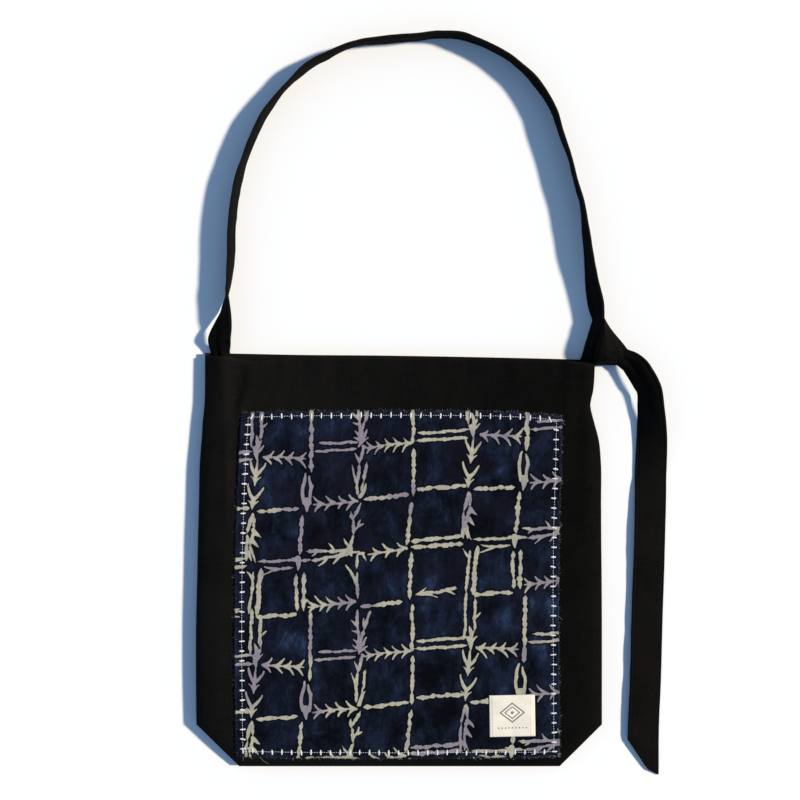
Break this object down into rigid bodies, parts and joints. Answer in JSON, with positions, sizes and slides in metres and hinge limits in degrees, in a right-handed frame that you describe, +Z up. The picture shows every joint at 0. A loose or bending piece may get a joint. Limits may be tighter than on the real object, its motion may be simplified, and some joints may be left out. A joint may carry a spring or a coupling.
{
  "type": "patchwork shoulder bag",
  "caption": "Black canvas shoulder bag lying on its back, with a raw-edged wax-print cotton patch, a small plain label and a knotted canvas strap with a hanging tail.",
  "frame": {"origin": "the middle of the flat of the back, on the surface that the bag lies on", "axes": "+X across the bag towards the knot, +Y from the bottom of the bag to its mouth and on to the top of the strap, +Z up out of the front"},
  "size_m": [0.4689, 0.7388, 0.0321],
  "materials": {
    "canvas": "matt black cotton canvas",
    "printed_cotton": "matt navy wax-print cotton with pale branching strokes",
    "cream_cotton": "matt cream cotton, for the label and the thread"
  },
  "bodies": {
    "root": {"front_panel": "canvas", "back_panel": "canvas", "patch_panel": "printed_cotton", "label": "cream_cotton", "shoulder_strap": "canvas", "strap_tab": "canvas", "strap_knot": "canvas", "strap_tail": "canvas"}
  },
  "joints": []
}
